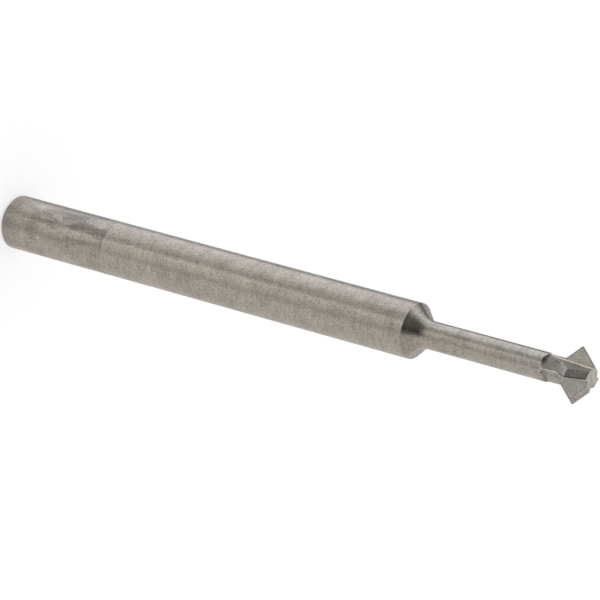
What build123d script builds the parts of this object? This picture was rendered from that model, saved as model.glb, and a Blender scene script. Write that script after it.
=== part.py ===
from build123d import *
from math import cos, radians, sin, sqrt, tan
import os

os.makedirs("parts", exist_ok=True)

# A double-angle cutter, ground from one rod of sintered tungsten carbide.
# A long round shank steps down over a cone to a slim neck, and the neck carries a
# small head with four straight teeth. The edge of each tooth is pointed, like a V
# lying on its side: the front flank looks ahead, the rear flank back at the shank.
#
# Sizes are in millimetres and degrees. Z is the tool's axis. It rises from the
# shank's flat end, at z = 0, to the end face of the head. The first tooth is at +X.
# The tool turns anticlockwise when seen from its head. Every rake face looks that
# way, and the body of its tooth trails behind it.

# Shank, shoulder and neck
OVERALL_LENGTH = 75.0
SHANK_DIAMETER = 6.0
SHANK_END_CHAMFER = 0.4
REACH = 21.2  # from the head's end face back to the front edge of the shank
SHOULDER_ANGLE = 45.0  # between the shoulder cone and the axis
SHOULDER_FILLET = 1.2  # in the hollow corner between cone and neck
NECK_DIAMETER = 3.0

# Outline of the head
CUTTING_DIAMETER = 6.0  # over the points of the teeth
POINT_FLAT = 0.1  # width of the tiny flat that blunts each point
END_FACE_DIAMETER = 2.73  # over the front corners of the teeth
FRONT_FLANK_ANGLE = 45.0  # between the front flank and the axis
REAR_FLANK_ANGLE = 45.0

# Teeth
TOOTH_COUNT = 4
LAND_WIDTH = 0.12  # the narrow strip right behind each edge
LAND_RELIEF = 10.0
RELIEF = 37.0  # of the wide face behind the land
BLADE_TAPER = 4.7  # how much a tooth thins out from its root to its edge
GASH_ROOT_RADIUS = 1.05  # from the axis to the foot of a rake face, at the points
GASH_INCLINE = 3.0  # the gash runs this much deeper towards the end face
GASH_FILLET = 0.14
GASH_RUN = 2.2  # how far behind the points the gash begins to rise
GASH_WHEEL_RADIUS = 4.5  # of the arc in which it rises out of the neck
NECK_FLAT_DEPTH = 0.085  # below the neck's surface, level with the edge
NECK_FLAT_RUN = 3.52  # from the points back to the foot of the flat's rounded end
FLAT_END_RADIUS = 1.9
FLAT_END_LENGTH = 0.4  # the rounded part, measured along the tool
FLAT_END_LEAN = 28.0  # of the wall round that end, away from square to the flat

# How far each grinding cut reaches past the stock that it takes away
OVERRUN = 0.3
# The seam of the round surfaces lies in the strip of neck between two flats
SEAM_ANGLE = 8.0

shank_radius = SHANK_DIAMETER / 2
neck_radius = NECK_DIAMETER / 2
cutting_radius = CUTTING_DIAMETER / 2
end_face_radius = END_FACE_DIAMETER / 2
front_slope = tan(radians(FRONT_FLANK_ANGLE))
rear_slope = tan(radians(REAR_FLANK_ANGLE))

shoulder_z = OVERALL_LENGTH - REACH
point_z = OVERALL_LENGTH - (cutting_radius - end_face_radius) / front_slope
rear_point_z = point_z - POINT_FLAT
head_start_z = rear_point_z - (cutting_radius - neck_radius) / rear_slope
beyond = OVERALL_LENGTH + OVERRUN  # past the end face
outside = 2 * cutting_radius  # clear of the stock, also where a cut slants inwards

# The flat that the relief leaves on the neck is a chord of the neck's round section
flat_x = neck_radius - NECK_FLAT_DEPTH
flat_distance = flat_x * cos(radians(RELIEF))  # from the axis
flat_middle = flat_x * sin(radians(RELIEF))  # from the plane of the edge, along the flat
flat_half_width = sqrt(neck_radius**2 - flat_distance**2)
flat_end_z = point_z - NECK_FLAT_RUN


def blank():
    """The turned form: everything but the teeth, as one revolved outline."""
    cone_length = (shank_radius - neck_radius) / tan(radians(SHOULDER_ANGLE))
    neck_start = (neck_radius, shoulder_z + cone_length)
    outline = Polyline(
        (0, 0),
        (shank_radius, 0),
        (shank_radius, shoulder_z),
        neck_start,
        (neck_radius, head_start_z),
        (cutting_radius, rear_point_z),
        (cutting_radius, point_z),
        (end_face_radius, OVERALL_LENGTH),
        (0, OVERALL_LENGTH),
        close=True,
    )
    half = make_face(Plane.XZ * outline)
    rim = half.vertices().filter_by(lambda v: abs(v.X - shank_radius) + abs(v.Z) < 1e-6)
    half = chamfer(rim, SHANK_END_CHAMFER)
    hollow = half.vertices().filter_by(
        lambda v: abs(v.X - neck_start[0]) + abs(v.Z - neck_start[1]) < 1e-6
    )
    half = fillet(hollow, SHOULDER_FILLET)
    return Rot(0, 0, SEAM_ANGLE) * revolve(half, Axis.Z)


def cut(outline, direction, before, after):
    """What a wheel takes away: an outline beside the tooth's edge, in the plane y = 0.

    The outline travels along a slanting direction, from a distance before that plane
    to a distance after it, both measured across the plane.
    """
    face = make_face(Plane.XZ * outline)
    step = direction / abs(direction.Y)
    face = Pos(*(step * -before)) * face
    return extrude(face, amount=(before + after) * step.length, dir=direction)


def gash():
    """The L-shaped gash in front of one tooth: rake face, floor and wheel run-out."""
    incline = radians(GASH_INCLINE)
    root_at_end = (GASH_ROOT_RADIUS - (beyond - point_z) * tan(incline), beyond)
    root_at_rise = (GASH_ROOT_RADIUS + GASH_RUN * tan(incline), point_z - GASH_RUN)
    hub_x = root_at_rise[0] + GASH_WHEEL_RADIUS * cos(incline)
    hub_z = root_at_rise[1] + GASH_WHEEL_RADIUS * sin(incline)
    wheel_foot = (hub_x, hub_z - GASH_WHEEL_RADIUS)
    outline = Curve() + [
        Line(root_at_end, root_at_rise),
        RadiusArc(root_at_rise, wheel_foot, -GASH_WHEEL_RADIUS),
        Polyline(wheel_foot, (hub_x, beyond), root_at_end),
    ]
    floor_angle = radians(360 / TOOTH_COUNT + BLADE_TAPER)
    floor_direction = Vector(cos(floor_angle), sin(floor_angle), 0)
    solid = cut(outline, floor_direction, 0, cutting_radius + OVERRUN)
    foot_edges = solid.edges().filter_by_position(Axis.Y, -1e-6, 1e-6).sort_by(Axis.X)[:2]
    return fillet(foot_edges, GASH_FILLET)


def land_cut():
    """Clears the narrow land behind the V-shaped edge of one tooth."""
    outline = Polyline(
        (outside, head_start_z),
        (neck_radius, head_start_z),
        (cutting_radius, rear_point_z),
        (cutting_radius, point_z),
        (cutting_radius - (beyond - point_z) * front_slope, beyond),
        (outside, beyond),
        close=True,
    )
    lean = radians(LAND_RELIEF)
    return cut(outline, Vector(-sin(lean), -cos(lean), 0), OVERRUN, 2 * LAND_WIDTH)


def flat_end_cut():
    """The end of the neck flat: an arc with a leaning wall, part of a shallow cone.

    It is kept short enough to stay clear of the head, and overlaps the straight flat.
    """
    lean = radians(RELIEF)
    flat = Plane(
        origin=(flat_x, 0, flat_end_z),
        x_dir=(-sin(lean), -cos(lean), 0),
        z_dir=(cos(lean), -sin(lean), 0),
    )
    depth = neck_radius - flat_distance + OVERRUN
    spread = depth * tan(radians(FLAT_END_LEAN))
    cone = Cone(
        FLAT_END_RADIUS,
        FLAT_END_RADIUS + spread,
        depth,
        align=(Align.CENTER, Align.CENTER, Align.MIN),
    )
    keep = Box(
        4 * FLAT_END_RADIUS,
        2 * FLAT_END_LENGTH + spread,
        depth,
        align=(Align.CENTER, Align.MAX, Align.MIN),
    )
    middle = Pos(flat_middle, 0, 0)
    return flat * middle * (Pos(0, -FLAT_END_RADIUS, 0) * cone & Pos(0, spread, 0) * keep)


def relief_cut():
    """Clears the wide relief behind the land, and runs out as a flat on the neck."""
    lean = radians(RELIEF)
    lift = LAND_WIDTH * (tan(lean) - tan(radians(LAND_RELIEF)))
    point_x = cutting_radius + lift
    rise_z = rear_point_z - (point_x - flat_x) / rear_slope
    outline = Polyline(
        (outside, flat_end_z + FLAT_END_LENGTH),
        (flat_x, flat_end_z + FLAT_END_LENGTH),
        (flat_x, rise_z),
        (point_x, rear_point_z),
        (point_x, point_z),
        (point_x - (beyond - point_z) * front_slope, beyond),
        (outside, beyond),
        close=True,
    )
    reach = (flat_middle + flat_half_width) * cos(lean) + OVERRUN / 4
    return cut(outline, Vector(-sin(lean), -cos(lean), 0), OVERRUN, reach)


def double_angle_cutter():
    """The whole tool: the blank with the four cuts of every tooth taken from it."""
    tool = blank()
    for spin in PolarLocations(0, TOOTH_COUNT):
        tool -= spin * gash()
        tool -= spin * land_cut()
        tool -= spin * relief_cut()
        tool -= spin * flat_end_cut()
    return tool


export_step(double_angle_cutter(), "parts/double_angle_cutter.step")
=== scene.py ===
# %% [markdown]
# # A double-angle cutter
# A double-angle cutter is a small milling tool, ground from one rod of sintered
# carbide. A long round shank goes into the machine's collet, a slim neck reaches into
# the work, and four pointed teeth at the tip cut a V-shaped groove or break an edge.
#
# This lesson builds the tool twice over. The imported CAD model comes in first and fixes
# every size. Then a finer copy of the same shape is made with Geometry Nodes, in the
# order in which a grinder makes the real one: turn the blank, then cut the teeth. It
# gets tiny rounded edges and ground finishes, and stands in a small photo studio.

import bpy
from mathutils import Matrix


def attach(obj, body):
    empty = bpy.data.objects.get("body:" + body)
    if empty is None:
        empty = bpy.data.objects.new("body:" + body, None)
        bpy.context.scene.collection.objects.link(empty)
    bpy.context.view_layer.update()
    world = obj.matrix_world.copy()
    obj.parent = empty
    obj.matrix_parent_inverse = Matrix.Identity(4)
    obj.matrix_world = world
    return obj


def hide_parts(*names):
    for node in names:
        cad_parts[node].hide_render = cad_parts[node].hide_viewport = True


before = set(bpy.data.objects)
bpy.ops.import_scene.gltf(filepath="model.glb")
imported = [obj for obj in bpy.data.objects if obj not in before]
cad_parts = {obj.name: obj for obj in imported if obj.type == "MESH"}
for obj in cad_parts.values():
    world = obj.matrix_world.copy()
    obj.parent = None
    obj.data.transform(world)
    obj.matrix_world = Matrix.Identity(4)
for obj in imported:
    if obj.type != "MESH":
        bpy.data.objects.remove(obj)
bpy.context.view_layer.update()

# %% [markdown]
# ## Tools of the lesson
# bmesh builds the simple shapes by hand, mathutils has vectors and matrices, and numpy
# works on long lists of numbers at once.

# %% Import the tools of the lesson
from math import atan2, cos, pi, radians, sin, sqrt, tan

import bmesh
import bpy
import numpy as np
from mathutils import Matrix, Vector

MM = 0.001  # Blender works in metres, this tool in millimetres

# %% [markdown]
# ## Sizes of the tool
# These are the sizes of the CAD model, in millimetres and degrees. Z runs along the
# tool from the flat end of the shank to the end face of the head. The first tooth
# points along +X. A wheel cuts a gash in front of each tooth, then clears the metal
# behind its edge.

# %% Sizes
OVERALL_LENGTH = 75.0
SHANK_DIAMETER = 6.0
SHANK_END_CHAMFER = 0.4
REACH = 21.2
SHOULDER_FILLET = 1.2
NECK_DIAMETER = 3.0
CUTTING_DIAMETER = 6.0
POINT_FLAT = 0.1
END_FACE_DIAMETER = 2.73
FLANK_ANGLE = 45.0

TOOTH_COUNT = 4
LAND_WIDTH = 0.12
LAND_RELIEF = 10.0
RELIEF = 37.0
BLADE_TAPER = 4.7
GASH_ROOT_RADIUS = 1.05
GASH_INCLINE = 3.0
GASH_FILLET = 0.14
GASH_RUN = 2.2
GASH_WHEEL_RADIUS = 4.5
NECK_FLAT_DEPTH = 0.085
NECK_FLAT_RUN = 3.52
FLAT_END_RADIUS = 1.9
FLAT_END_LENGTH = 0.4
FLAT_END_LEAN = 28.0
OVERRUN = 0.3  # how far each cut reaches past the stock that it takes away

neck_radius = NECK_DIAMETER / 2
cutting_radius = CUTTING_DIAMETER / 2
flank_slope = tan(radians(FLANK_ANGLE))
point_z = OVERALL_LENGTH - (cutting_radius - END_FACE_DIAMETER / 2) / flank_slope
rear_point_z = point_z - POINT_FLAT
head_start_z = rear_point_z - (cutting_radius - neck_radius) / flank_slope
beyond = OVERALL_LENGTH + OVERRUN  # past the end face
outside = 2 * cutting_radius  # clear of the stock

flat_x = neck_radius - NECK_FLAT_DEPTH
flat_distance = flat_x * cos(radians(RELIEF))
flat_middle = flat_x * sin(radians(RELIEF))
flat_half_width = sqrt(neck_radius**2 - flat_distance**2)
flat_end_z = point_z - NECK_FLAT_RUN
print("the points of the teeth lie", round(point_z, 3), "mm above the shank's end")

# %% [markdown]
# ## What the wheels take away at one tooth
# A grinding wheel removes a simple shape: its outline, swept in a straight line. So
# each cut is a prism. Mesh code is the shortest way to make one: list the outline in
# the plane through the axis and the edge, copy it along the wheel's path, and join the
# two outlines with walls. Three cuts make a tooth: the gash in front of the edge, the
# narrow land right behind it, and the wide relief behind the land. A fourth rounds the
# end of the relief on the neck. Every face of a cut carries a number for the kind of cut,
# so that the metal it leaves can be told apart.

# %% A helper that sweeps an outline into a cut
GASH_CUT, RELIEF_CUT, LAND_CUT, FLAT_CUT, RUN_OUT, GASH_FOOT = 1.0, 2.0, 3.0, 4.0, 5.0, 6.0


def new_object(name, data):
    """Puts a mesh, lamp or camera into the scene as an object."""
    obj = bpy.data.objects.new(name, data)
    bpy.context.scene.collection.objects.link(obj)
    return obj


def solid_between(first, last):
    """A closed shape between two outlines that have their corners in the same order."""
    shape = bmesh.new()
    rings = [[shape.verts.new(corner) for corner in ring] for ring in (first, last)]
    shape.faces.new(rings[0])
    shape.faces.new(reversed(rings[1]))
    for i in range(len(first)):
        j = (i + 1) % len(first)
        shape.faces.new((rings[0][i], rings[1][i], rings[1][j], rings[0][j]))
    bmesh.ops.recalc_face_normals(shape, faces=shape.faces)
    return shape


def wheel_cut(outline, direction, before, after):
    """A prism: the outline in the plane y = 0, swept along a slanting direction."""
    step = Vector(direction) / abs(direction[1])
    corners = [Vector((x, 0, z)) for x, z in outline]
    first = [corner - step * before for corner in corners]
    last = [corner + step * after for corner in corners]
    return solid_between(first, last)


def keep_as_object(name, shape, kind_of_cut):
    """Turns mesh code into an object whose faces carry the number of their kind of cut."""
    mesh = bpy.data.meshes.new(name)
    shape.to_mesh(mesh)
    shape.free()
    mark = mesh.attributes.new("kind_of_cut", "FLOAT", "FACE")
    mark.data.foreach_set("value", [kind_of_cut] * len(mesh.polygons))
    return new_object(name, mesh)


def mark_faces(cut, faces, kind_of_cut):
    """Gives some faces of a cut a number of their own."""
    marks = cut.data.attributes["kind_of_cut"].data
    for face in faces:
        marks[face].value = kind_of_cut


# %% [markdown]
# ## The gash
# The gash is the L-shaped notch in front of a tooth. Its upright wall is the rake face, which runs
# through the axis, and its floor is the back of the tooth ahead. The wheel leaves the neck in an
# arc of its own radius, and its worn corner leaves a small fillet at the foot of the rake face.
# That fillet is a bevel on the prism's edge. It gets a number of its own, so that its material can
# carry a painted highlight: a colour half again as bright as the bare metal.

# %% Gash
SAME_PLACE, CLEARLY = 1e-6, 1e-4  # millimetres between places that agree, and that don't


def gash_outline(arc_steps=28):
    """The wheel's path in the plane of the edge: root line, run-out arc, open air."""
    incline = radians(GASH_INCLINE)
    root_at_end = (GASH_ROOT_RADIUS - (beyond - point_z) * tan(incline), beyond)
    rise_x = GASH_ROOT_RADIUS + GASH_RUN * tan(incline)
    rise_z = point_z - GASH_RUN
    hub_x = rise_x + GASH_WHEEL_RADIUS * cos(incline)
    hub_z = rise_z + GASH_WHEEL_RADIUS * sin(incline)
    arc = []
    for k in range(arc_steps + 1):
        turn = pi + incline + (pi / 2 - incline) * k / arc_steps
        arc.append((hub_x + GASH_WHEEL_RADIUS * cos(turn),
                    hub_z + GASH_WHEEL_RADIUS * sin(turn)))
    return [root_at_end] + arc + [(hub_x, beyond)]


def at_the_foot(edge, arc_end):
    """True for the edges at the foot of the rake face, along the root line and the arc."""
    corners = [vert.co for vert in edge.verts]
    in_rake_face = all(abs(c.y) < SAME_PLACE for c in corners)
    up_to_arc_end = all(c.x < arc_end[0] - CLEARLY or c.z < arc_end[1] + CLEARLY for c in corners)
    at_open_end = all(abs(c.z - beyond) < SAME_PLACE for c in corners)
    return in_rake_face and up_to_arc_end and not at_open_end


def gash():
    """The gash cut, with a fillet at the foot of the rake face."""
    floor = radians(360 / TOOTH_COUNT + BLADE_TAPER)
    outline = gash_outline()
    shape = wheel_cut(outline, (cos(floor), sin(floor), 0), 0, cutting_radius + OVERRUN)
    feet = [edge for edge in shape.edges if at_the_foot(edge, outline[-2])]
    fillet = bmesh.ops.bevel(shape, geom=feet, offset=GASH_FILLET, segments=5, profile=0.5,
                             affect="EDGES", clamp_overlap=False)
    shape.faces.index_update()
    foot = [face.index for face in fillet["faces"]]
    cut = keep_as_object("gash", shape, GASH_CUT)
    mark_faces(cut, foot, GASH_FOOT)
    return cut


gash_cut = gash()
print("the gash cut has", len(gash_cut.data.polygons), "faces")

# %% [markdown]
# ## Land and relief
# Both are V-shaped, because both flanks of the tooth are cut in one pass. The land
# leans back by a few degrees only, so that the edge stays strong. The relief leans much
# further, and ends in a shallow flat on the neck.

# %% Land and relief
def land():
    """The cut that clears the narrow land behind the edge."""
    outline = [
        (outside, head_start_z),
        (neck_radius, head_start_z),
        (cutting_radius, rear_point_z),
        (cutting_radius, point_z),
        (cutting_radius - (beyond - point_z) * flank_slope, beyond),
        (outside, beyond),
    ]
    lean = radians(LAND_RELIEF)
    shape = wheel_cut(outline, (-sin(lean), -cos(lean), 0), OVERRUN, 2 * LAND_WIDTH)
    return keep_as_object("land", shape, LAND_CUT)


def relief():
    """The cut that clears the wide relief. Low down it leaves the flat on the neck."""
    lean = radians(RELIEF)
    point_x = cutting_radius + LAND_WIDTH * (tan(lean) - tan(radians(LAND_RELIEF)))
    outline = [
        (outside, flat_end_z + FLAT_END_LENGTH),
        (flat_x, flat_end_z + FLAT_END_LENGTH),
        (flat_x, rear_point_z - (point_x - flat_x) / flank_slope),
        (point_x, rear_point_z),
        (point_x, point_z),
        (point_x - (beyond - point_z) * flank_slope, beyond),
        (outside, beyond),
    ]
    reach = (flat_middle + flat_half_width) * cos(lean) + OVERRUN / 4
    shape = wheel_cut(outline, (-sin(lean), -cos(lean), 0), OVERRUN, reach)
    cut = keep_as_object("relief", shape, RELIEF_CUT)
    heights = [vertex.co.z for vertex in cut.data.vertices]
    below_the_head = point_z - 1
    walls = [face for face in cut.data.polygons if len(face.vertices) == 4]
    mark_faces(cut, [wall.index for wall in walls
                     if max(heights[i] for i in wall.vertices) < below_the_head], FLAT_CUT)
    return cut


land_cut, relief_cut = land(), relief()
print("the relief cut measures", [round(side, 2) for side in relief_cut.dimensions], "mm")

# %% [markdown]
# ## The end of the flat on the neck
# The flat does not stop at a straight step. In the photo a dark arc bounds it, where the
# rim of the wheel has dug in, and the wall there leans outwards. A slice of a shallow
# cone gives this shape: an arc at the flat, a wider arc above it, and walls between.

# %% Rounded end of the flat
def flat_end(arc_steps=32):
    """The cut that rounds off the end of the flat: one ring at the flat, one above it."""
    lean = radians(RELIEF)
    along_flat = Vector((-sin(lean), -cos(lean), 0))
    off_flat = Vector((cos(lean), -sin(lean), 0))
    depth = neck_radius - flat_distance + OVERRUN
    top = flat_end_z + 2 * FLAT_END_LENGTH
    turns = [radians(-45 + 90 * k / arc_steps) for k in range(arc_steps + 1)]
    rings = []
    for height in (0, depth):
        radius = FLAT_END_RADIUS + height * tan(radians(FLAT_END_LEAN))
        hub = (Vector((flat_x, 0, flat_end_z + FLAT_END_RADIUS))
               + along_flat * flat_middle + off_flat * height)
        arc = [hub + along_flat * radius * sin(t) - Vector((0, 0, radius * cos(t))) for t in turns]
        rings.append(arc + [Vector((arc[-1].x, arc[-1].y, top)), Vector((arc[0].x, arc[0].y, top))])
    cut = keep_as_object("flat_end", solid_between(*rings), RUN_OUT)
    caps = [face.index for face in cut.data.polygons if len(face.vertices) > 4]
    mark_faces(cut, caps, FLAT_CUT)
    return cut


flat_end_cut = flat_end()
print("the end of the flat lies", round(flat_end_z, 3), "mm above the shank's end")

# %% [markdown]
# ## Arithmetic inside a node tree
# Geometry Nodes has a node for each sum and product, and a few sizes already need a
# dozen of them. This small class places the nodes for us: two numbers of the tree are
# added or multiplied in Python, and the right Math node appears and is wired up. The
# sign | takes the larger of two, and > gives 1 where the first is larger, else 0.

# %% Numbers that place their own nodes
class Size:
    """A number that lives in a node tree."""

    def __init__(self, tree, socket):
        self.tree, self.socket = tree, socket

    def _math(self, operation, other):
        node = self.tree.nodes.new("ShaderNodeMath")
        node.operation = operation
        self.tree.links.new(self.socket, node.inputs[0])
        plug(self.tree, other, node.inputs[1])
        return Size(self.tree, node.outputs[0])

    def __add__(self, other):
        return self._math("ADD", other)

    def __sub__(self, other):
        return self._math("SUBTRACT", other)

    def __mul__(self, other):
        return self._math("MULTIPLY", other)

    def __truediv__(self, other):
        return self._math("DIVIDE", other)

    def __or__(self, other):
        return self._math("MAXIMUM", other)

    def __gt__(self, other):
        return self._math("GREATER_THAN", other)


def plug(tree, value, target):
    """Puts a number, a size, an output or a node's first output into an input."""
    if isinstance(value, Size):
        value = value.socket
    elif hasattr(value, "outputs"):
        value = value.outputs[0]
    if hasattr(value, "links"):
        tree.links.new(value, target)
    else:
        target.default_value = value


def place(tree, kind, settings=None, **inputs):
    """Adds a node, sets it up and fills its inputs by name."""
    node = tree.nodes.new(kind)
    for name, value in (settings or {}).items():
        setattr(node, name, value)
    for name, value in inputs.items():
        plug(tree, value, node.inputs[name.replace("_", " ")])
    return node


def pick(tree, kind, choices):
    """One value for each point of a line: the first for point 0, the next for point 1."""
    switch = place(tree, "GeometryNodeIndexSwitch", {"data_type": kind},
                   Index=place(tree, "GeometryNodeInputIndex"))
    while len(switch.index_switch_items) < len(choices):
        switch.index_switch_items.new()
    for k, choice in enumerate(choices):
        plug(tree, choice, switch.inputs[k + 1])
    return switch


def point(tree, x=0.0, y=0.0, z=0.0):
    """A place, or three angles, from up to three sizes."""
    return place(tree, "ShaderNodeCombineXYZ", X=x, Y=y, Z=z)


def parts_of(tree, vector):
    """The x, y and z of a place or a direction, as sizes."""
    apart = place(tree, "ShaderNodeSeparateXYZ", Vector=vector)
    return [Size(tree, output) for output in apart.outputs]


# %% [markdown]
# ## The cutter as a node tree
# The tree works as the grinding shop does. It draws half the outline of the blank from
# the sizes, rounds the hollow corner at the shoulder, and turns the outline about the
# axis. Then it copies the four cuts of one tooth around the axis, once for each tooth,
# and takes them all away in one boolean. A mark on the cuts tells later which faces a
# wheel has ground, so that they get their own finish.

# %% Inputs of the tree
tree = bpy.data.node_groups.new("double-angle cutter", "GeometryNodeTree")
tree.interface.new_socket("Geometry", in_out="INPUT", socket_type="NodeSocketGeometry")
tree.interface.new_socket("Geometry", in_out="OUTPUT", socket_type="NodeSocketGeometry")
socket_of = {}


def add_input(tree, name, kind, value=None):
    """Adds a named input to a tree, with a value where one is given, and returns it."""
    socket = tree.interface.new_socket(name, in_out="INPUT", socket_type=kind)
    if value is not None:
        socket.default_value = value
    return socket


def tree_input(name, kind, value=None):
    """Adds an input to the cutter's tree and remembers its identifier."""
    socket_of[name] = add_input(tree, name, kind, value).identifier


for name, value in {
    "Overall length": OVERALL_LENGTH,
    "Shank diameter": SHANK_DIAMETER,
    "End chamfer": SHANK_END_CHAMFER,
    "Reach": REACH,
    "Shoulder fillet": SHOULDER_FILLET,
    "Neck diameter": NECK_DIAMETER,
    "Cutting diameter": CUTTING_DIAMETER,
    "Point flat": POINT_FLAT,
    "End face diameter": END_FACE_DIAMETER,
}.items():
    tree_input(name, "NodeSocketFloat", value)
tree_input("Tooth count", "NodeSocketInt", TOOTH_COUNT)
tree_input("Steps round the axis", "NodeSocketInt", 160)
CUTS = ("Gash", "Land", "Relief", "Flat end")
for name in CUTS:
    tree_input(name, "NodeSocketObject")
FINISH_OF_CUT = {
    "Gash finish": GASH_CUT, "Relief finish": RELIEF_CUT, "Land finish": LAND_CUT,
    "Flat finish": FLAT_CUT, "Run-out finish": RUN_OUT, "Foot finish": GASH_FOOT,
}
for name in ("Turned finish", "End finish", *FINISH_OF_CUT):
    tree_input(name, "NodeSocketMaterial")

given = tree.nodes.new("NodeGroupInput").outputs


def size(name):
    """One of the sizes that come in from outside."""
    return Size(tree, given[name])


# %% [markdown]
# ## The outline of the blank
# A Mesh Line gives ten points joined in a row. An Index Switch then sends each one to its
# own place, and Fillet Curve rounds the one corner that has a radius. Because the places
# are sums of the inputs, a longer neck or a thicker shank is one number away.

# %% The outline of the blank
def blank_outline():
    """Half the section of the blank: x is the distance from the axis, y the height."""
    length = size("Overall length")
    shank, neck = size("Shank diameter") / 2, size("Neck diameter") / 2
    cutting, end_face = size("Cutting diameter") / 2, size("End face diameter") / 2
    chamfer = size("End chamfer")
    shoulder = length - size("Reach")
    front_point = length - (cutting - end_face)
    rear_point = front_point - size("Point flat")
    corners = [
        (0.0, 0.0),
        (shank - chamfer, 0.0),
        (shank, chamfer),
        (shank, shoulder),
        (neck, shoulder + shank - neck),
        (neck, rear_point - cutting + neck),
        (cutting, rear_point),
        (cutting, front_point),
        (end_face, length),
        (0.0, length),
    ]
    line = place(tree, "GeometryNodeMeshLine", Count=len(corners))
    positions = pick(tree, "VECTOR", [point(tree, x, y) for x, y in corners])
    drawn = place(tree, "GeometryNodeSetPosition", Geometry=line, Position=positions)
    hollow_corner, fillet_steps = 4, 12
    radii = [0.0] * len(corners)
    radii[hollow_corner] = size("Shoulder fillet")
    marked = place(tree, "GeometryNodeStoreNamedAttribute",
                   {"data_type": "FLOAT", "domain": "POINT"},
                   Geometry=drawn, Name="rounding", Value=pick(tree, "FLOAT", radii))
    curve = place(tree, "GeometryNodeMeshToCurve", Mesh=marked)
    rounding = place(tree, "GeometryNodeInputNamedAttribute", {"data_type": "FLOAT"},
                     Name="rounding")
    return place(tree, "GeometryNodeFilletCurve", {"mode": "POLY"}, Curve=curve,
                 Count=fillet_steps, Radius=rounding)


# %% [markdown]
# ## Turning on the lathe
# A lathe shape is a flat grid that is bent round. Each row of the grid takes its
# radius and height from one point of the outline, and each column has its own angle. The
# first and last columns meet, and Merge by Distance closes the seam and the two poles.

# %% Turn the outline about the axis
SEAM_GAP = 1e-4  # millimetres: the two columns at the seam lie closer than this


def turned(outline):
    """A grid bent into a lathe shape: columns go round the axis, rows along the outline."""
    as_mesh = place(tree, "GeometryNodeCurveToMesh", Curve=outline)
    count = place(tree, "GeometryNodeAttributeDomainSize", Geometry=as_mesh)
    points_along = Size(tree, count.outputs["Point Count"])
    grid = place(tree, "GeometryNodeMeshGrid", Size_X=1.0, Size_Y=1.0,
                 Vertices_X=size("Steps round the axis") + 1, Vertices_Y=points_along)
    position = place(tree, "GeometryNodeInputPosition")
    across, along, _ = parts_of(tree, position)
    angle = (across + 0.5) * (2 * pi)
    row = (along + 0.5) * (points_along - 1)
    nearest = place(tree, "FunctionNodeFloatToInt", {"rounding_mode": "ROUND"}, Float=row)
    sampled = place(tree, "GeometryNodeSampleIndex",
                    {"data_type": "FLOAT_VECTOR", "domain": "POINT"},
                    Geometry=as_mesh, Value=position, Index=nearest)
    radius, height, _ = parts_of(tree, sampled)
    cosine = place(tree, "ShaderNodeMath", {"operation": "COSINE"}, Value=angle)
    sine = place(tree, "ShaderNodeMath", {"operation": "SINE"}, Value=angle)
    lathe = place(tree, "GeometryNodeSetPosition", Geometry=grid,
                  Position=point(tree, radius * cosine, radius * sine, height))
    return place(tree, "GeometryNodeMergeByDistance", Geometry=lathe, Distance=SEAM_GAP)


# %% [markdown]
# ## Cutting the teeth
# The cuts for one tooth come in as instances, which cost nothing to copy. Duplicate
# Elements makes one set for each tooth and Rotate Instances spreads the sets round the
# axis. The exact boolean then takes them all away from the blank in one go.

# %% Cut the teeth
def cuts_round_the_axis():
    """The cuts of one tooth as instances, copied round the axis for every tooth."""
    together = tree.nodes.new("GeometryNodeJoinGeometry")
    for name in CUTS:
        cut = place(tree, "GeometryNodeObjectInfo", Object=given[name], As_Instance=True)
        tree.links.new(cut.outputs["Geometry"], together.inputs[0])
    copies = place(tree, "GeometryNodeDuplicateElements", {"domain": "INSTANCE"},
                   Geometry=together, Amount=given["Tooth count"])
    turned_by = Size(tree, copies.outputs["Duplicate Index"]) * (2 * pi) / size("Tooth count")
    return place(tree, "GeometryNodeRotateInstances", Instances=copies,
                 Rotation=point(tree, z=turned_by), Local_Space=False)


blank = place(tree, "GeometryNodeStoreNamedAttribute",
              {"data_type": "FLOAT", "domain": "FACE"},
              Geometry=turned(blank_outline()), Name="kind_of_cut", Value=0.0)
ground = place(tree, "GeometryNodeMeshBoolean", {"operation": "DIFFERENCE", "solver": "EXACT"},
               Mesh_1=blank, Mesh_2=cuts_round_the_axis())
real = place(tree, "GeometryNodeRealizeInstances", Geometry=ground.outputs["Mesh"])


# %% [markdown]
# ## A finish for each kind of face
# The boolean hands the number of a cut on to the faces that it leaves, so a chain of Set
# Material nodes can sort them. The flat ends of the tool are found by their normals.

# %% Give each kind of face its finish
LEVEL = 0.98  # the normals of the flat ends point up or down by more than this

mark = place(tree, "GeometryNodeInputNamedAttribute", {"data_type": "FLOAT"},
             Name="kind_of_cut")
facing_up = parts_of(tree, place(tree, "GeometryNodeInputNormal"))[2]
selections = {"End finish": (facing_up | facing_up * -1.0) > LEVEL}
for name, kind in FINISH_OF_CUT.items():
    selections[name] = Size(tree, mark.outputs[0]) > kind - 0.5
dressed = place(tree, "GeometryNodeSetMaterial", Geometry=real,
                Material=given["Turned finish"])
for name, selection in selections.items():
    dressed = place(tree, "GeometryNodeSetMaterial", Geometry=dressed, Selection=selection,
                    Material=given[name])
plug(tree, dressed, tree.nodes.new("NodeGroupOutput").inputs[0])
print("the node tree has", len(tree.nodes), "nodes")

# %% [markdown]
# ## Finishes
# Sintered carbide is a dull grey metal with a warm tint. Every surface here comes off a
# grinding wheel, and the grit leaves fine parallel lines. They run round the axis on the
# turned blank and at a slant in the gashes. On top of the lines lies a fine mottling.
# The effects that several finishes share are node groups: each one takes a place on the
# tool and gives back a plain number.

# %% Shader helpers
def finish(name):
    """A new material with an empty Principled shader."""
    material = bpy.data.materials.new(name)
    material.use_nodes = True
    nodes = material.node_tree
    return material, nodes, nodes.nodes["Principled BSDF"]


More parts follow.
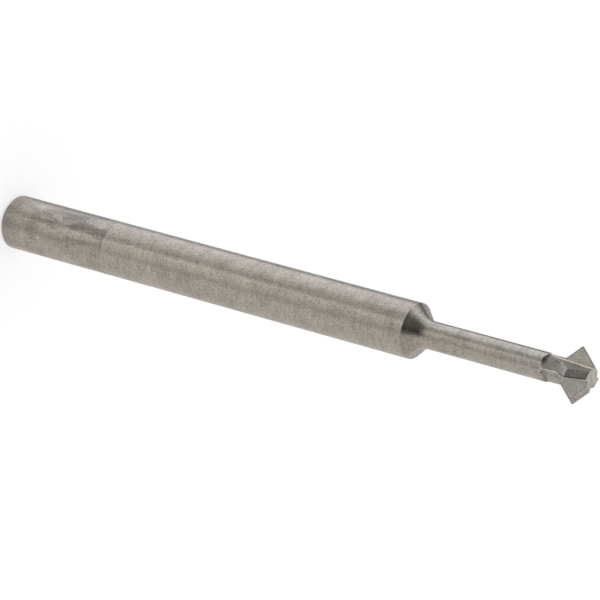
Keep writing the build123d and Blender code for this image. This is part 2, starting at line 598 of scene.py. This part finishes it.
def shader_group(name, inputs, outputs):
    """A new node group for materials, and the sockets at its two ends, by name."""
    group = bpy.data.node_groups.new(name, "ShaderNodeTree")
    for label, kind, value in inputs:
        add_input(group, label, kind, value)
    for label in outputs:
        group.interface.new_socket(label, in_out="OUTPUT", socket_type="NodeSocketFloat")
    start, end = group.nodes.new("NodeGroupInput"), group.nodes.new("NodeGroupOutput")
    return group, start.outputs, end.inputs


def ramp(nodes, value, start, end):
    """0 at the start value, 1 at the end value, and even in between."""
    share = place(nodes, "ShaderNodeMapRange", Value=value, From_Min=start, From_Max=end)
    return Size(nodes, share.outputs[0])


def noise(nodes, where, scale, detail, roughness=0.5):
    """A noise texture: how many cells there are to the metre, and how fine they are."""
    cells = place(nodes, "ShaderNodeTexNoise", Vector=where, Scale=scale, Detail=detail,
                  Roughness=roughness)
    return Size(nodes, cells.outputs[0])


def vector_math(nodes, operation, one, other):
    """Adds two vectors, or tells how far one reaches along the other."""
    node = place(nodes, "ShaderNodeVectorMath", {"operation": operation})
    plug(nodes, one, node.inputs[0])
    plug(nodes, other, node.inputs[1])
    return node.outputs["Value" if operation == "DOT_PRODUCT" else "Vector"]


FLOAT, VECTOR = "NodeSocketFloat", "NodeSocketVector"

# %% [markdown]
# ## Grinding lines
# Lines are a noise texture that is stretched out: it changes fast in one direction, the
# one across the lines, and slowly in the others. The group measures how far a place lies
# in that direction and feeds it to the noise, many cells to the millimetre.

# %% Grinding lines
CELLS_ALONG = 260.0  # to the metre, along the lines

lines_group, group_in, group_out = shader_group("grinding lines", [
    ("Place", VECTOR, None), ("Across", VECTOR, (0, 0, 1)), ("Lines per mm", FLOAT, 12.0)],
    ["Lines"])
across = vector_math(lines_group, "DOT_PRODUCT", group_in["Place"], group_in["Across"])
x, y, z = parts_of(lines_group, group_in["Place"])
streak = point(lines_group, x * CELLS_ALONG, (y + z) * CELLS_ALONG,
               Size(lines_group, across) * 1000 * group_in["Lines per mm"])
plug(lines_group, noise(lines_group, streak, 1.0, 3.0, 0.65), group_out[0])

# %% [markdown]
# ## Mottling
# A ground surface also glitters unevenly, grain by grain, and shows wider clouds where
# the wheel was fresher or duller. Three noise textures of different sizes give a fine
# value, a broad one, and one that shifts the tint a little.

# %% Mottling
mottle_group, group_in, group_out = shader_group("mottling", [
    ("Place", VECTOR, None), ("Cells per mm", FLOAT, 5.0)], ["Fine", "Broad", "Tint"])
per_metre = Size(mottle_group, group_in["Cells per mm"]) * 1000
for output, share_of_cells, detail, shift in (
        ("Fine", 1.0, 4.0, 0.0), ("Broad", 0.12, 3.0, 0.3), ("Tint", 0.45, 2.0, 0.7)):
    moved = vector_math(mottle_group, "ADD", group_in["Place"], (shift, shift, shift))
    cells = noise(mottle_group, moved, per_metre * share_of_cells, detail, 0.6)
    plug(mottle_group, cells, group_out[output])

# %% [markdown]
# ## Painted edge light and corner shade
# The Bevel node looks at the surface a short way around, and its normal turns away from the real
# one near an edge only. Along those edges each finish multiplies its colour by a set brightness: a
# painted highlight where it is above 1, a painted dark line where it is below 1. The Ambient
# Occlusion node finds hollow corners, and there the colour is darkened: painted shade, which also
# stands for grinding dust. Both masks come in groups, so that every finish can use them.

# %% Painted edge light and painted corner shade
# painted edge light: this mask finds sharp edges, where each finish multiplies its colour by a set
# brightness, a painted highlight above 1 and a painted dark line below 1
edge_light_group, group_in, group_out = shader_group("painted edge light", [
    ("Place", VECTOR, None), ("Width", FLOAT, 0.00010), ("Full at", FLOAT, 0.90)], ["Mask"])
soft_normal = place(edge_light_group, "ShaderNodeBevel", {"samples": 6}, Radius=group_in["Width"])
real_normal = place(edge_light_group, "ShaderNodeNewGeometry").outputs["Normal"]
agreement = vector_math(edge_light_group, "DOT_PRODUCT", soft_normal, real_normal)
near_edge = ramp(edge_light_group, agreement, 0.998, group_in["Full at"])
uneven = noise(edge_light_group, group_in["Place"], 4000.0, 2.0)
plug(edge_light_group, near_edge * ramp(edge_light_group, uneven, 0.25, 0.5), group_out["Mask"])

# painted shade in hollow corners, which also stands for grinding dust: Mask darkens where Ambient
# Occlusion finds the corner closed, and Hollow keeps the painted edge light out of those corners
dust_and_shade_group, group_in, group_out = shader_group("corner dust and painted shade", [
    ("Place", VECTOR, None), ("Reach", FLOAT, 0.0004)], ["Mask", "Hollow"])
openness = place(dust_and_shade_group, "ShaderNodeAmbientOcclusion", {"samples": 8, "only_local": True},
                 Distance=group_in["Reach"]).outputs["AO"]
uneven = noise(dust_and_shade_group, group_in["Place"], 3000.0, 3.0)
in_corner = ramp(dust_and_shade_group, openness, 0.80, 0.35)
plug(dust_and_shade_group, in_corner * ramp(dust_and_shade_group, uneven, 0.25, 0.55), group_out["Mask"])
plug(dust_and_shade_group, ramp(dust_and_shade_group, openness, 0.95, 0.75), group_out["Hollow"])

# %% [markdown]
# ## Ground carbide
# All finishes are the same metal, so one function builds them. Lines and mottling set the tone
# between a dark and a pale grey, scaled by a painted brightness for each finish, then tint, film,
# stain, painted corner shade and painted edge light are laid over it. A shallow bump from the same
# lines breaks up the reflections.

# %% Ground carbide
CARBIDE = (0.350, 0.330, 0.306)
ROSY, GREENISH = (1.03, 0.965, 0.985), (0.965, 1.0, 0.96)
# the third colour darkens hollow corners: painted shade, which also stands for grinding dust
FILM, STAIN, DUST_AND_SHADE = (0.985, 0.955, 0.92), (0.65, 0.65, 0.69), (0.30, 0.28, 0.26)
FILM_FROM, FILM_AT = 0.068, 0.050  # metres above the end of the shank, from none to full
COLOR_A, COLOR_B, COLOR_OUT = 6, 7, 2  # the Mix node's sockets for colours


def blend(nodes, color, factor, other, kind="MULTIPLY"):
    """Multiplies a colour by another or mixes the two, as far as the factor says."""
    node = place(nodes, "ShaderNodeMix", {"data_type": "RGBA", "blend_type": kind},
                 Factor=factor)
    plug(nodes, color, node.inputs[COLOR_A])
    plug(nodes, (*other, 1), node.inputs[COLOR_B])
    return node.outputs[COLOR_OUT]


def ground_carbide(name, across, roughness, lines_per_mm, line_depth, anisotropy=0.0,
                   light=1.0, contrast=0.32, corner_shade=0.5, edge_brightness=1.0, edge_light_full_at=0.90,
                   edge_light_width=0.0001, handled=False):
    """A finish. across is the direction across its grinding lines, light a painted brightness for
    the whole finish: below 1 painted shade, above 1 a painted highlight.

    Along its edges the colour is multiplied by a set brightness: above 1 a painted highlight, below
    1 a painted dark line. This reaches full strength where the softened normal has turned away as
    far as the given limit, within the given width of the edge.
    """
    material, nodes, shader = finish(name)
    where = place(nodes, "ShaderNodeTexCoord").outputs["Object"]
    lines = place(nodes, "ShaderNodeGroup", {"node_tree": lines_group}, Place=where,
                  Across=across, Lines_per_mm=lines_per_mm)
    mottle = place(nodes, "ShaderNodeGroup", {"node_tree": mottle_group}, Place=where)
    edge_light = place(nodes, "ShaderNodeGroup", {"node_tree": edge_light_group}, Place=where,
                 Full_at=edge_light_full_at, Width=edge_light_width)
    dust_and_shade = place(nodes, "ShaderNodeGroup", {"node_tree": dust_and_shade_group}, Place=where)
    line = Size(nodes, lines.outputs["Lines"])
    fine = Size(nodes, mottle.outputs["Fine"])

    tone = fine * 0.52 + Size(nodes, mottle.outputs["Broad"]) * 0.20 + line * 0.28
    # light scales the colour of the whole finish: a painted brightness, painted shade below 1 and a
    # painted highlight above 1
    dark = [light * (1 - contrast) * part for part in CARBIDE]
    pale = [light * (1 + contrast) * part for part in CARBIDE]
    color = blend(nodes, (*dark, 1), ramp(nodes, tone, 0.36, 0.64), pale, kind="MIX")
    color = blend(nodes, color, ramp(nodes, mottle.outputs["Tint"], 0.52, 0.72), ROSY)
    color = blend(nodes, color, ramp(nodes, mottle.outputs["Tint"], 0.48, 0.28), GREENISH)
    rough = fine * 0.10 + (roughness - 0.05)
    if handled:
        height = parts_of(nodes, where)[2]
        color = blend(nodes, color, ramp(nodes, height, FILM_FROM, FILM_AT), FILM)
        stain = stain_mask(nodes, where)
        color = blend(nodes, color, stain, STAIN)
        rough = rough + stain * 0.04
    # painted shade: hollow corners are darkened towards a dark brown, which also stands for
    # grinding dust
    color = blend(nodes, color, Size(nodes, dust_and_shade.outputs["Mask"]) * corner_shade, DUST_AND_SHADE)
    # painted edge light along sharp edges, kept out of hollow corners: a painted highlight where
    # the edge brightness is above 1, a painted dark line where it is below 1
    on_ridges = Size(nodes, dust_and_shade.outputs["Hollow"]) * -1.0 + 1.0
    painted_edge_light = Size(nodes, edge_light.outputs["Mask"]) * on_ridges
    color = blend(nodes, color, painted_edge_light, (edge_brightness, edge_brightness, edge_brightness))
    plug(nodes, color, shader.inputs["Base Color"])
    plug(nodes, rough, shader.inputs["Roughness"])
    shader.inputs["Metallic"].default_value = 1.0
    if anisotropy:
        shader.inputs["Anisotropic"].default_value = anisotropy
        shader.inputs["Anisotropic Rotation"].default_value = 0.25
        tangent = place(nodes, "ShaderNodeTangent", {"direction_type": "RADIAL", "axis": "Z"})
        plug(nodes, tangent, shader.inputs["Tangent"])
    bump = place(nodes, "ShaderNodeBump", Strength=0.3, Distance=line_depth,
                 Height=line * 0.7 + fine * 0.3)
    plug(nodes, bump, shader.inputs["Normal"])
    return material


# %% [markdown]
# ## The stain on the shank
# Handling has left a faint warm film on the shank. Its last 14 mm have grey blotches in
# the photo, up to a line that runs straight round it: that is how far it has sat in a
# holder. The stain gets stronger towards that line and is strongest on one side, which
# lay against the wall of the holder. Its blotches are drawn out lengthwise, the way in
# which a tool slides in. A noise texture does this when the height is squeezed before
# the noise reads it.

# %% Stain
STAIN_TOP = 0.01435  # metres above the end of the shank
STAIN_WOBBLE = 0.00012  # how far the line round the shank strays from straight
STAINED_SIDE = radians(140)  # the side stained most, counted from the first tooth


def stain_mask(nodes, where):
    """0 on clean metal, up to 1 in the darkest blotches."""
    x, y, height = parts_of(nodes, where)
    edge = height + noise(nodes, where, 700.0, 2.0) * STAIN_WOBBLE
    inside = ramp(nodes, edge, STAIN_TOP + STAIN_WOBBLE, STAIN_TOP)
    blotches = noise(nodes, point(nodes, x, y, height * 0.28), 900.0, 4.0, 0.6)
    blotchy = ramp(nodes, blotches, 0.42, 0.56) * 0.9 + 0.1
    growing = ramp(nodes, height, 0.0, 0.012) * 0.60 + 0.25
    rim = ramp(nodes, edge, STAIN_TOP - 0.0004, STAIN_TOP) * 0.35
    across = x * cos(STAINED_SIDE) + y * sin(STAINED_SIDE)
    one_sided = ramp(nodes, across, 0.0015, 0.0028) * 0.9 + 0.4
    return inside * (blotchy * growing + rim) * one_sided


# %% [markdown]
# ## The finishes
# Round grinding leaves lines round the tool. They scatter light along it much further than across
# it, which is what anisotropy means, so light and dark stretch into long bands. The gash wheel cuts
# at a slant. Each finish also gets a painted brightness: the land and the flat faces are painted
# darker as shade, and the end face and the foot of the gash lighter as a painted highlight. The
# edges of the turned, end, relief and flat faces get a painted highlight, and those of the gash a
# painted dark line, as the photo shows for each.

# %% The finishes
ALONG_TOOL, GASH_SLANT, FACE_SLANT = (0, 0, 1), (0.7, 0.68, 0.2), (0.2, 0.2, 0.96)

# Edge brightness above 1 paints a highlight along the edges of the turned, end, relief and flat
# faces, and below 1 it paints a dark line along the gash faces.
turned_finish = ground_carbide(
    "round-ground carbide", ALONG_TOOL, roughness=0.31, lines_per_mm=16.0, line_depth=2e-6,
    anisotropy=1.0, contrast=0.46, edge_brightness=1.2, handled=True)
# the end face is painted 1.3 times as bright, a painted highlight
end_finish = ground_carbide(
    "faced carbide", (0.8, 0.6, 0), roughness=0.42, lines_per_mm=12.0, line_depth=4e-6,
    light=1.3, contrast=0.65, edge_brightness=1.2)
# painted brightness of the cut faces: the land and the flats are painted about a quarter darker as
# shade, the gash and the run-out a little darker, and the foot of the gash lighter as a painted
# highlight
cut_finishes = {
    "Gash finish": ground_carbide(
        "gash-ground carbide", GASH_SLANT, roughness=0.27, lines_per_mm=24.0, line_depth=3e-6,
        light=0.97, corner_shade=0.0, edge_brightness=0.5, edge_light_full_at=0.97, edge_light_width=0.00025),
    "Relief finish": ground_carbide(
        "relief-ground carbide", FACE_SLANT, roughness=0.40, lines_per_mm=14.0, line_depth=3e-6,
        anisotropy=0.6, contrast=0.5, edge_brightness=1.25),
    "Land finish": ground_carbide(
        "lapped carbide", FACE_SLANT, roughness=0.20, lines_per_mm=30.0, line_depth=1e-6,
        light=0.75),
    "Flat finish": ground_carbide(
        "flat-ground carbide", FACE_SLANT, roughness=0.34, lines_per_mm=14.0, line_depth=3e-6,
        anisotropy=0.6, light=0.73, contrast=0.5, edge_brightness=1.8, edge_light_full_at=0.98),
    "Run-out finish": ground_carbide(
        "wheel run-out", FACE_SLANT, roughness=0.28, lines_per_mm=20.0, line_depth=1e-6,
        light=0.95, corner_shade=0.15),
    # painted highlight: the fillet at the foot of the gash is painted half again as bright
    "Foot finish": ground_carbide(
        "gash foot with painted highlight", GASH_SLANT, roughness=0.34, lines_per_mm=24.0, line_depth=1e-6,
        light=1.5, corner_shade=0.0),
}

# %% [markdown]
# ## From nodes to a plain mesh
# The modifier gets its cuts and materials by the name of their input, the result is read
# off as a mesh of its own, and the modifier goes away again. So do the four cuts.

# %% Make the cutter
cutter = new_object("ground_cutter", bpy.data.meshes.new("ground_cutter"))
grinding = cutter.modifiers.new("grinding", "NODES")
grinding.node_group = tree
for name, value in {
    "Gash": gash_cut, "Land": land_cut, "Relief": relief_cut, "Flat end": flat_end_cut,
    "Turned finish": turned_finish, "End finish": end_finish, **cut_finishes,
}.items():
    grinding[socket_of[name]] = value
bpy.context.view_layer.update()


def settle(obj):
    """Replaces an object's mesh by what its modifiers make of it, and removes them."""
    evaluated = obj.evaluated_get(bpy.context.evaluated_depsgraph_get())
    mesh = bpy.data.meshes.new_from_object(evaluated, preserve_all_data_layers=True,
                                           depsgraph=bpy.context.evaluated_depsgraph_get())
    obj.modifiers.clear()
    obj.data = mesh
    return mesh


mesh = settle(cutter)
print("the ground cutter has", len(mesh.vertices), "vertices and", len(mesh.polygons), "faces")
for cut in (gash_cut, land_cut, relief_cut, flat_end_cut):
    bpy.data.objects.remove(cut)

# %% [markdown]
# ## Rounding the edges
# No real edge is perfectly sharp, and the thin line of light on it tells us that it is
# metal. The boolean leaves very short edges here and there, so these are merged first.
# Then every sharp edge gets a bevel of 0.02 mm, apart from those in the run-outs, where
# faces meet at such a flat angle that a bevel would cross itself.

# %% Round the edges
EDGE_ROUNDING = 0.022
SHARP = radians(24)
TOO_CLOSE = 0.002  # corners nearer to each other than this become one
ALMOST_FLAT = radians(0.4)  # faces that meet at less than this become one
RUN_OUT_FOOT, RUN_OUT_TOP = 60, flat_end_z + 0.5  # the heights between which no edge is rounded


def choose_edges(mesh):
    """Merges what the boolean left too close together, and picks the edges to round."""
    shape = bmesh.new()
    shape.from_mesh(mesh)
    bmesh.ops.remove_doubles(shape, verts=shape.verts, dist=TOO_CLOSE)
    bmesh.ops.dissolve_limit(shape, angle_limit=ALMOST_FLAT, verts=shape.verts, edges=shape.edges)
    weight = shape.edges.layers.float.new("bevel_weight_edge")
    chosen = 0
    for edge in shape.edges:
        heights = [v.co.z for v in edge.verts]
        in_run_out = min(heights) < RUN_OUT_TOP and max(heights) > RUN_OUT_FOOT
        if edge.calc_face_angle() < SHARP:
            continue
        if in_run_out or edge.calc_length() < 2 * EDGE_ROUNDING:
            edge.smooth = False
        else:
            edge[weight] = 1.0
            chosen += 1
    shape.to_mesh(mesh)
    open_edges = sum(1 for edge in shape.edges if not edge.is_manifold)
    print("volume in cubic millimetres:", round(shape.calc_volume(), 3))
    print("open edges:", open_edges, "rounded edges:", chosen)
    shape.free()


choose_edges(mesh)
rounding = cutter.modifiers.new("rounding", "BEVEL")
rounding.limit_method = "WEIGHT"
rounding.width = EDGE_ROUNDING
rounding.segments = 2
rounding.use_clamp_overlap = False
rounding.miter_outer = "MITER_SHARP"
weighting = cutter.modifiers.new("weighting", "WEIGHTED_NORMAL")
weighting.keep_sharp = True
mesh.polygons.foreach_set("use_smooth", [True] * len(mesh.polygons))
mesh = settle(cutter)
mesh.transform(Matrix.Scale(MM, 4))
print("with its edges rounded:", len(mesh.vertices), "vertices")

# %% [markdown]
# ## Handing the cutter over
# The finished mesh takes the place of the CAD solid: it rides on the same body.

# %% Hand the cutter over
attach(cutter, "root")
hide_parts("double_angle_cutter")

# %% [markdown]
# ## Camera
# The tool stands on the end of its shank, but the photo shows it lying at a slant. So the
# camera is rolled on its side: its up direction is nearly level. Its place, view and lens
# come from fitting the outline of the real tool in the photo.

# %% Camera
CAMERA_PLACE = Vector((-300.0, 54.96, 233.44)) * MM
CAMERA_LOOK = Vector((0.82944352, -0.15223137, -0.5374468))
CAMERA_UP = Vector((0.03385474, 0.9740793, -0.22365904))
lens = bpy.data.cameras.new("camera")
lens.sensor_width = 36
lens.lens = 205.14
camera = new_object("camera", lens)
right = CAMERA_LOOK.cross(CAMERA_UP).normalized()
up = right.cross(CAMERA_LOOK).normalized()
turn = Matrix((right, up, -CAMERA_LOOK.normalized())).transposed()
camera.matrix_world = Matrix.Translation(CAMERA_PLACE) @ turn.to_4x4()
bpy.context.scene.camera = camera

# %% [markdown]
# ## Studio
# The picture has a pure white ground. The world is plain white for rays that look
# straight at it or see it in the metal, and softer for the light that it casts, so the
# ground can be white without washing out the tool.

# %% Studio
scene = bpy.context.scene
scene.view_settings.view_transform = "Standard"


def seen_directly(nodes):
    """1 for the rays that look straight at something, in a mirror or through glass."""
    rays = place(nodes, "ShaderNodeLightPath").outputs
    kinds = ("Is Camera Ray", "Is Glossy Ray", "Is Transmission Ray")
    straight, mirrored, through = (Size(nodes, rays[kind]) for kind in kinds)
    return straight | mirrored | through


world = bpy.data.worlds.new("studio")
scene.world = world
world.use_nodes = True
sky = world.node_tree
sky.nodes.clear()
soft = place(sky, "ShaderNodeBackground", Color=(1, 1, 1, 1), Strength=0.8)
white = place(sky, "ShaderNodeBackground", Color=(1, 1, 1, 1), Strength=1.0)
chosen = place(sky, "ShaderNodeMixShader")
for k, part in enumerate((seen_directly(sky), soft, white)):
    plug(sky, part, chosen.inputs[k])
plug(sky, chosen, place(sky, "ShaderNodeOutputWorld").inputs[0])

# %% [markdown]
# ## Floor
# The floor is matt white paper. A little glow that only the camera sees lifts it to the
# white of the ground, and the soft shadow at the foot of the tool stays.

# %% Floor
floor = new_object("floor", bpy.data.meshes.new("floor"))
floor.data.from_pydata([(-3, -3, 0), (3, -3, 0), (3, 3, 0), (-3, 3, 0)], [], [(0, 1, 2, 3)])
paper, nodes, shader = finish("white paper")
shader.inputs["Base Color"].default_value = (0.55, 0.55, 0.55, 1)
shader.inputs["Roughness"].default_value = 1.0
shader.inputs["Specular IOR Level"].default_value = 0.0
shader.inputs["Emission Color"].default_value = (1, 1, 1, 1)
plug(nodes, seen_directly(nodes) * 0.57, shader.inputs["Emission Strength"])
floor.data.materials.append(paper)

# %% [markdown]
# ## Cards
# Metal shows what stands around it. Photographers place dark and light cards where their
# reflections draw the form, and the photo's long bands are such cards. Each one here is
# a bent sheet round the tool that glows with a brightness of its own, from side to side.
# It is hidden from the camera and casts no light, so only the metal sees it.

# %% A place round the tool
CAMERA_SIDE = atan2(CAMERA_PLACE.y, CAMERA_PLACE.x)
MIDDLE = Vector((0, 0, 0.04))


def around(side, height, distance):
    """A place round the tool: degrees from the camera towards +Y, degrees above the floor."""
    turn, rise = CAMERA_SIDE - radians(side), radians(height)
    return MIDDLE + distance * Vector((cos(turn) * cos(rise), sin(turn) * cos(rise), sin(rise)))


# %% [markdown]
# ## A bent sheet
# A sheet is a grid of corners, one column of them for each degree that it spans. Each
# corner stores the colour with which it glows.
# The light from the right is a little cooler than the rest, as in the photo.

# %% A bent sheet
WARM, COOL = np.array((1.01, 1.0, 0.965)), np.array((0.985, 1.0, 1.025))
COOLER_FROM, COOL_AT = 40, 70  # degrees from the camera
SHEET_ROWS = 24


def bent_sheet(name, spots, tones, seen_at):
    """A sheet seen only in the metal. tones are (degrees, brightness) from side to side."""
    mesh = bpy.data.meshes.new(name)
    row = len(spots) // (SHEET_ROWS + 1)
    faces = [(j * row + i, j * row + i + 1, (j + 1) * row + i + 1, (j + 1) * row + i)
             for j in range(SHEET_ROWS) for i in range(row - 1)]
    mesh.from_pydata(spots, [], faces)
    brightness = np.interp(seen_at, [side for side, tone in tones], [tone for side, tone in tones])
    coolness = np.interp(seen_at, (COOLER_FROM, COOL_AT), (0, 1))
    colors = brightness[:, None] * (WARM + coolness[:, None] * (COOL - WARM))
    shade = mesh.attributes.new("tone", "FLOAT_COLOR", "POINT")
    shade.data.foreach_set("color", np.column_stack((colors, np.ones(len(colors)))).ravel())
    material, nodes, shader = finish(name)
    nodes.nodes.remove(shader)
    attribute = place(nodes, "ShaderNodeAttribute", {"attribute_name": "tone"})
    glow = place(nodes, "ShaderNodeEmission", Color=attribute.outputs["Color"], Strength=1.0)
    plug(nodes, glow, nodes.nodes["Material Output"].inputs[0])
    mesh.materials.append(material)
    obj = new_object(name, mesh)
    obj.visible_camera = obj.visible_diffuse = False
    obj.visible_shadow = obj.visible_transmission = False


# %% [markdown]
# ## Standing and lying sheets
# A standing sheet is part of a ball round the tool. A lying sheet is part of the table.
# Close to the foot of the tool the round shank bends the picture of the table, so the
# brightness of a spot there is looked up by the direction in which the shank sees it.
# That keeps the bands on the shank straight down to its end.

# %% Standing and lying sheets
def standing_sheet(name, sides, heights, distance, tones):
    """Part of a ball round the tool, between two sides and two heights in degrees."""
    across = np.arange(sides[0], sides[1] + 1.0)
    spots = [around(side, heights[0] + (heights[1] - heights[0]) * j / SHEET_ROWS, distance)
             for j in range(SHEET_ROWS + 1) for side in across]
    bent_sheet(name, spots, tones, np.tile(across, SHEET_ROWS + 1))


def side_in_the_shank(side, distance, radius=3 * MM):
    """The direction from which a spot on the table comes to the round shank."""
    facing = np.radians(np.linspace(-90, 90, 181))
    run = np.sqrt(distance**2 - (radius * np.sin(facing)) ** 2) - radius * np.cos(facing)
    spot = np.unwrap(np.arctan2(radius * np.sin(facing) + run * np.sin(2 * facing),
                                radius * np.cos(facing) + run * np.cos(2 * facing)))
    return np.interp(side, np.degrees(spot), 2 * np.degrees(facing))


def lying_sheet(name, sides, reach, tones, lift=0.0003):
    """Part of the table, between two sides in degrees and two distances in metres."""
    across = np.arange(sides[0], sides[1] + 1.0)
    spots, seen_at = [], []
    for j in range(SHEET_ROWS + 1):
        distance = reach[0] * (reach[1] / reach[0]) ** (j / SHEET_ROWS)
        for turn in CAMERA_SIDE - np.radians(across):
            spots.append(Vector((distance * cos(turn), distance * sin(turn), lift)))
        seen_at.append(side_in_the_shank(across, distance))
    bent_sheet(name, spots, tones, np.concatenate(seen_at))


# %% [markdown]
# ## The cards of this photo
# A dark cloth hangs in front and gives the black patch on the shoulder cone. Its left
# part is pale grey and sets the lower half of the cone off from the shank. A post draws
# the dark line along the upper outline. A dark ceiling and a dark corner below it
# blacken the rounded end of the upper flat. On the table lie two bright sheets with a
# dark strip beyond them, and the grey gap between the sheets makes the long dark band.

# %% The cards of this photo
standing_sheet("dark_cloth", (-135, 124), (10, 110), 0.55, [
    (-135, 0.9), (-124, 0.8), (-100, 0.74), (-70, 0.85), (-41, 0.78), (-33, 0.35), (-26, 0.02),
    (12, 0.03), (40, 0.18), (60, 0.42), (80, 0.75), (98, 1.3), (124, 1.4)])
standing_sheet("cloth_hem", (-24, 52), (-6, 10), 0.55, [
    (-24, 0.1), (-20, 0.02), (20, 0.03), (52, 0.2)])
standing_sheet("dark_post", (121, 146), (-2, 22), 0.54, [
    (121, 1.2), (126, 0.4), (138, 0.35), (146, 1.1)])
standing_sheet("dark_ceiling", (56, 196), (53, 82), 0.5, [
    (56, 0.15), (70, 0.06), (180, 0.06), (196, 0.3)])
standing_sheet("dark_corner", (116, 162), (24, 54), 0.52, [
    (116, 0.3), (122, 0.02), (156, 0.02), (162, 0.3)])
BARE_TABLE = [(-180, 0.55), (-162, 0.7), (-150, 1.0), (-140, 1.13), (-120, 1.08), (-80, 1.1),
              (-50, 1.07)]
FIRST_SHEET = [(-40, 1.2), (-30, 1.0), (-5, 1.4), (10, 1.55), (23, 1.8)]
GAP = [(28, 1.15), (34, 1.0), (40, 1.05)]
SECOND_SHEET = [(60, 1.5), (80, 1.5), (105, 1.65), (118, 2.3)]
DARK_STRIP = [(122, 1.5), (126, 0.45), (143, 0.5), (150, 1.5), (180, 1.6)]
ON_THE_SHEETS = 0.0009  # metres above the floor, clear of the sheets below
lying_sheet("table_sheets", (-180, 180), (0.005, 0.5),
            BARE_TABLE + FIRST_SHEET + GAP + SECOND_SHEET + DARK_STRIP)
lying_sheet("far_table", (-50, 66), (0.108, 0.2), [
    (-50, 1.0), (-32, 0.5), (-16, 0.95), (0, 1.05), (23, 1.2), (34, 0.65), (46, 0.2), (58, 0.2),
    (66, 1.6)], lift=ON_THE_SHEETS)
lying_sheet("far_corner", (136, 170), (0.100, 0.5), [(136, 0.45), (166, 0.5), (170, 1.0)],
            lift=ON_THE_SHEETS)

# %% [markdown]
# ## Lamp
# One large soft lamp above gives the floor its shadow. Its strength is given for each
# square metre, so a bigger lamp is softer but not brighter to look at.

# %% Lamp
LAMP_SIDE, LAMP_HEIGHT, LAMP_DISTANCE = 108, 35, 0.5
LAMP_WIDTH, LAMP_STRENGTH = 0.3, 0.5

light = bpy.data.lights.new("top_softbox", "AREA")
light.size = LAMP_WIDTH
light.energy = LAMP_STRENGTH * LAMP_WIDTH**2 * pi
softbox = new_object("top_softbox", light)
softbox.location = around(LAMP_SIDE, LAMP_HEIGHT, LAMP_DISTANCE)
softbox.rotation_euler = (softbox.location - MIDDLE).to_track_quat("Z", "Y").to_euler()
